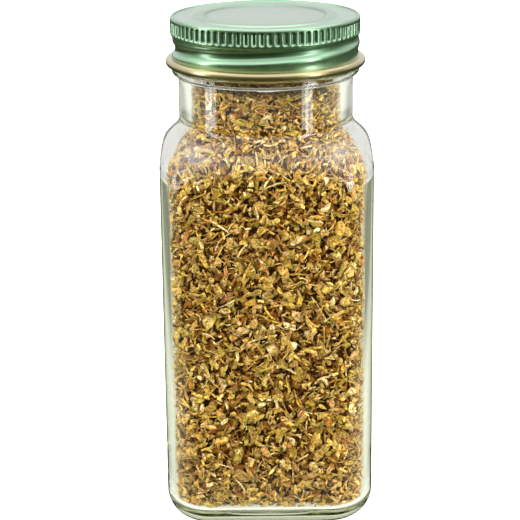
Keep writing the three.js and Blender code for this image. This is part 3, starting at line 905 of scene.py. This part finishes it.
def spun(shape, normal, tilt, random):
    """Each flake's shape on three unit axes of its own, which are turned at random about the
    wall's normal and lean by tilt."""
    count = len(normal)
    helper = np.where(np.abs(normal[:, 2:]) > 0.8, [[1.0, 0, 0]], [[0, 0, 1.0]])
    first = np.cross(helper, normal)
    first /= np.linalg.norm(first, axis=1, keepdims=True)
    second = np.cross(normal, first)
    spin = random.random((count, 1)) * TURN
    x = np.cos(spin) * first + np.sin(spin) * second
    y = np.cross(normal, x)
    lean = random.normal(0, 1, (count, 1)) * tilt
    x, n = np.cos(lean) * x + np.sin(lean) * normal, np.cos(lean) * normal - np.sin(lean) * x
    roll = random.normal(0, 1, (count, 1)) * tilt
    y, n = np.cos(roll) * y + np.sin(roll) * n, np.cos(roll) * n - np.sin(roll) * y
    return sum(part[..., None] * axis[:, None, :] for part, axis in zip(shape, (x, y, n)))


def settle(points, place, normal, depth, glass, herb):
    """Moves each flake to its place with its outermost point at its depth behind the skin, and
    then in from the glass wherever it would still reach past it."""
    out = np.einsum("fpk,fk->fp", points, normal)
    points = points + (place - normal * (out.max(axis=1) + depth)[:, None])[:, None, :]
    for _ in range(4):
        reach = np.hypot(points[..., 0], points[..., 1])
        share = np.clip(reach / glass.floor_radius, 0, 1)
        floor = glass.floor + glass.floor_rise * (1 - share**2) + herb.clearance
        points[..., 2] += np.maximum((floor - points[..., 2]).max(axis=1), 0)[:, None]
        theta = np.arctan2(points[..., 1], points[..., 0])
        over = reach - inner_reach(glass, theta, points[..., 2], herb.clearance)
        worst = over.argmax(axis=1)
        each = np.arange(len(points))
        push = np.maximum(over[each, worst], 0)
        way = points[each, worst, :2] / np.maximum(reach[each, worst], 1e-9)[:, None]
        points[..., :2] -= (way * push[:, None])[:, None, :]
    return points


def curled(u, v, side, twin, long, wide, thick, random):
    """A flake's own shape, before it is placed.

    Its width follows sqrt(1 - (0.93 u)^2), torn ragged. Across, it is rolled onto a circle of
    radius r = wide / 2 / curl: s becomes (r sin(s / r), r - r cos(s / r)), and folded along its
    middle by fold |s|. Along, it is bent by bend u^2, twisted by twist u, and crumpled.
    """
    column, shape = (len(long), 1), (len(long), len(u))
    ragged = random.uniform(0.6, 1.2, shape)[:, twin]
    x = long / 2 * (u + random.normal(0, 0.09, shape)[:, twin])
    s = wide / 2 * v * np.sqrt(np.maximum(1 - (0.93 * u) ** 2, 0.02)) * ragged
    curl = random.uniform(0.5, 2.3, column) * random.choice([-1, 1], column, p=[0.4, 0.6])
    fold = random.normal(0, 0.6, column)
    bend = long * random.normal(0, 0.16, column)
    twist = random.normal(0, 0.45, column)
    radius = wide / 2 / curl
    n = side * thick / 2
    y = (radius - n) * np.sin(s / radius)
    z = radius - (radius - n) * np.cos(s / radius) + bend * u**2 + fold * np.abs(s)
    z = z + random.normal(0, 0.085, shape)[:, twin] * np.minimum(wide, long / 3)
    cos, sin = np.cos(twist * u), np.sin(twist * u)
    return x, y * cos - z * sin, y * sin + z * cos


def picked_tones(herb, names, picks):
    """The herb's colours of these names, one for each pick."""
    return np.array([tuple(getattr(herb, name)) for name in names])[picks]


def loose_piece(name, points, triangles, torn, tones, smooth=True):
    """One piece of many flakes: the points of each, one flake's triangles and the edge points that
    get a painted highlight, and a colour for each."""
    count, size = points.shape[:2]
    faces = triangles + np.arange(count)[:, None, None] * size
    colours = np.repeat(np.column_stack([tones, np.ones(count)]), size, axis=0).clip(0, 1)
    attributes = {"leaf_colour": colours, "torn_edge": np.tile(torn, count)}
    return piece_from(name, points.reshape(-1, 3), [faces.reshape(-1, 3)], attributes, smooth)


def flake_piece(name, count, across, sizes, palette, depths, skin, glass, herb, random):
    """Closed, curled flakes scattered over the skin in one piece, each with a colour of its own
    and with painted shade, darker the deeper it lies. Some are broad bits of leaf and the rest
    longer, narrow slivers."""
    broad_widths, sliver_widths, sliver_length = (0.5, 0.95), (0.16, 0.36), 1.35
    thickness, brightness, tilt = (0.08, 0.13), (0.9, 1.5), 0.6
    deepest = np.array([0.55, 0.72, 0.88])
    u, v, side, twin, triangles = flake_grid(across)
    place, normal = skin.scatter(count, random)
    column = (count, 1)
    long = random.uniform(*sizes, column) * MM
    broad = random.random(column) < herb.broad
    widths = random.uniform(*broad_widths, column), random.uniform(*sliver_widths, column)
    wide = long * np.where(broad, *widths)
    long = np.where(broad, long, sliver_length * long)
    thick = random.uniform(*thickness, column) * MM
    shape = curled(u, v, side, twin, long, wide, thick, random)
    local = spun(shape, normal, tilt, random)
    depth = depths * random.random(count) ** 1.5 * MM
    points = settle(local, place, normal, depth, glass, herb)
    weights = np.array(list(palette.values()), float)
    picks = random.choice(len(palette), count, p=weights / weights.sum())
    tones = picked_tones(herb, palette, picks)
    # Painted shade: the deeper a flake lies, the darker and redder it is painted.
    painted_shade = 1 - deepest * (depth / depth.max())[:, None]
    bright = random.uniform(*brightness, column)
    paler = 0.3 * random.random(column) ** 3 + 0.15 * smooth(bright, 1.1, 1.5)
    tones = tones + (np.array(herb.straw) - tones) * paler
    tones = tones * painted_shade * bright * random.uniform(0.94, 1.06, (count, 3))
    return loose_piece(name, points, triangles, side == 0, tones, smooth=False)


def stem_piece(name, count, palette, skin, glass, herb, random):
    """Thin bits of stem, each bent into a shallow bow: y = bend u^2."""
    tilt, deepest = 0.28, 1.6 * MM
    u, v, w, triangles = stem_grid()
    place, normal = skin.scatter(count, random)
    column = (count, 1)
    long = random.gamma(4.0, 0.85, column).clip(1.5, 7) * MM
    thin = random.uniform(0.1, 0.24, column) * MM
    bend = long * random.normal(0, 0.08, column)
    shape = long / 2 * u, thin * v + bend * u**2, thin * w
    local = spun(shape, normal, tilt, random)
    points = settle(local, place, normal, random.uniform(0, deepest, count), glass, herb)
    picks = random.choice(len(palette), count)
    tones = picked_tones(herb, palette, picks) * random.uniform(0.75, 1.15, column)
    return loose_piece(name, points, triangles, np.zeros(len(u)), tones)


# ---- Operators ----


class SPICEJAR_OT_glass(bpy.types.Operator):
    """Make the clear glass jar"""

    bl_idname = "spicejar.glass"
    bl_label = "Glass Jar"

    def execute(self, context):
        settings = context.scene.spice_jar
        jar = piece_from("clear_glass_jar", *glass_surface(settings.glass, settings.cap))
        finish(jar, clear_glass(settings.glass), "jar", "clear_glass", "glass_jar")
        return {"FINISHED"}


class SPICEJAR_OT_herb(bpy.types.Operator):
    """Pack the jar with flakes and bits of stem"""

    bl_idname = "spicejar.herb"
    bl_label = "Dried Oregano"

    def execute(self, context):
        settings = context.scene.spice_jar
        glass, herb = settings.glass, settings.herb
        random = np.random.default_rng(herb.seed)
        skin = Skin(glass, herb)
        core = piece_from("packed_core", *packed_core(glass, herb, random))
        finish(core, packed_shade(herb), "jar", "dried_leaf", "dried_oregano")
        room = (skin, glass, herb, random)
        green = {"olive": 7, "golden": 2, "brown": 2}
        yellow = {"golden": 6, "olive": 4, "straw": 2, "brown": 2}
        mixed = {"olive": 6, "golden": 7, "straw": 3, "brown": 3, "rust": 0.6}
        pieces = [
            flake_piece("olive_leaf_flakes", herb.leaves, 4, (1.5, 3.9), green, 2.0, *room),
            flake_piece("golden_leaf_flakes", herb.leaves, 4, (1.4, 3.6), yellow, 2.0, *room),
            flake_piece("leaf_crumbs", herb.crumbs, 3, (0.7, 1.8), mixed, 2.2, *room),
            stem_piece("stem_bits", herb.stems, ("straw", "golden", "brown"), *room),
        ]
        leaf = dried_leaf()
        for piece in pieces:
            finish(piece, leaf, "jar", "dried_leaf", "dried_oregano")
        return {"FINISHED"}


class SPICEJAR_OT_cap(bpy.types.Operator):
    """Make the lacquered screw cap and finish its sealing disc"""

    bl_idname = "spicejar.cap"
    bl_label = "Screw Cap"

    def execute(self, context):
        settings = context.scene.spice_jar
        cap = piece_from("lacquered_screw_cap", *cap_surface(settings.cap))
        finish(cap, lacquered_tin(settings.cap), "cap", "lacquered_tinplate", "cap_shell")
        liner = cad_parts["cap_liner"]
        liner.data.materials.clear()
        liner.data.materials.append(liner_foam())
        return {"FINISHED"}


def softbox(name, place, aim, size, power):
    """A flat area light at a place, looking at aim."""
    lamp = bpy.data.lights.new(name, "AREA")
    lamp.shape = "RECTANGLE"
    lamp.size, lamp.size_y = size
    lamp.energy = power
    thing = add_object(name, lamp)
    way = np.array(aim) - np.array(place)
    flat = math.hypot(way[0], way[1])
    thing.location = place
    thing.rotation_euler = (math.atan2(flat, -way[2]), 0, math.atan2(way[1], way[0]) - math.pi / 2)
    return thing


class SPICEJAR_OT_stage(bpy.types.Operator):
    """Set up the camera, the pale floor and the studio lights"""

    bl_idname = "spicejar.stage"
    bl_label = "Studio"

    def execute(self, context):
        scene = context.scene
        stage = scene.spice_jar.stage
        lens = bpy.data.cameras.new("studio_camera")
        lens.lens = stage.lens
        lens.sensor_width = 36
        lens.clip_start, lens.clip_end = 0.01, 20
        camera = add_object("studio_camera", lens)
        upright = Matrix.Rotation(math.pi / 2 - stage.pitch, 4, "X")
        place = Matrix.Translation((stage.aside, -stage.distance, stage.height))
        camera.matrix_world = place @ upright @ Matrix.Rotation(-stage.roll, 4, "Z")
        scene.camera = camera

        half, drop = 3.0, 0.05 * MM
        corners = np.array([(-half, -half), (half, -half), (half, half), (-half, half)])
        points = np.concatenate([corners, np.full((4, 1), -drop)], axis=1)
        mesh = bpy.data.meshes.new("floor")
        mesh.from_pydata(points.tolist(), [], [(0, 1, 2, 3)])
        mesh.materials.append(light_table(stage))
        floor = add_object("floor", mesh)

        middle = (0, 0, 0.06)
        for name, place in (("left", (-0.195, -0.043, 0.16)), ("right", (0.164, -0.115, 0.16))):
            strip = softbox(name + "_strip", place, (0, 0, 0.16), (0.036, 0.254), 0.19)
            strip.visible_camera = False
        softbox("back_box", (0, 0.3, 0.7), (0, 0.25, 0), (0.8, 0.6), 2.0)
        key = softbox("key", (-0.35, -0.6, 0.5), middle, (0.2, 0.2), 5.4)
        key.visible_glossy = False
        fill = softbox("right_fill", (0.5, -0.22, 0.2), middle, (0.2, 0.3), 2.7)
        fill.visible_glossy = False

        room = Paint(bpy.data.worlds.new("studio_room"))
        way = room.add("TexCoord").part("Generated")
        split = room.add("SeparateXYZ", {0: way})
        behind = room.ramp(split.part("Y") * 0.5 + 0.5, (0.48, stage.front), (0.66, stage.sky))
        above = room.ramp(split.part("Z"), (0.36, 0), (0.62, 1)) * stage.dome
        seen = room.add("LightPath").part("Is Camera Ray")
        glow = behind.greater(above).greater(seen)
        sky = room.add("Background", {"Color": (1, 1, 1, 1), "Strength": glow})
        room.add("OutputWorld", {"Surface": sky})
        scene.world = room.owner
        scene.view_settings.view_transform = "Standard"
        scene.cycles.max_bounces = LIGHT_BOUNCES
        scene.cycles.transmission_bounces = LIGHT_BOUNCES
        scene.cycles.glossy_bounces = LIGHT_BOUNCES
        return {"FINISHED"}


class SPICEJAR_PT_panel(bpy.types.Panel):
    """Lists the jar's pieces and their settings"""

    bl_idname = "SPICEJAR_PT_panel"
    bl_label = "Spice Jar"
    bl_space_type = "VIEW_3D"
    bl_region_type = "UI"
    bl_category = "Spice Jar"

    def draw(self, context):
        settings = context.scene.spice_jar
        for operator, group in OPERATORS:
            box = self.layout.box()
            box.operator(operator.bl_idname)
            chosen = getattr(settings, group)
            for name in chosen.__annotations__:
                box.prop(chosen, name)


OPERATORS = (
    (SPICEJAR_OT_glass, "glass"),
    (SPICEJAR_OT_herb, "herb"),
    (SPICEJAR_OT_cap, "cap"),
    (SPICEJAR_OT_stage, "stage"),
)
CLASSES = (
    GlassSettings, CapSettings, HerbSettings, StageSettings, SpiceJarSettings,
    *(operator for operator, _ in OPERATORS), SPICEJAR_PT_panel,
)


def register():
    for cls in CLASSES:
        bpy.utils.register_class(cls)
    bpy.types.Scene.spice_jar = bpy.props.PointerProperty(type=SpiceJarSettings)


def unregister():
    del bpy.types.Scene.spice_jar
    for cls in reversed(CLASSES):
        bpy.utils.unregister_class(cls)


def main():
    register()
    bpy.ops.spicejar.glass()
    bpy.ops.spicejar.herb()
    bpy.ops.spicejar.cap()
    bpy.ops.spicejar.stage()


if __name__ == "__main__":
    main()
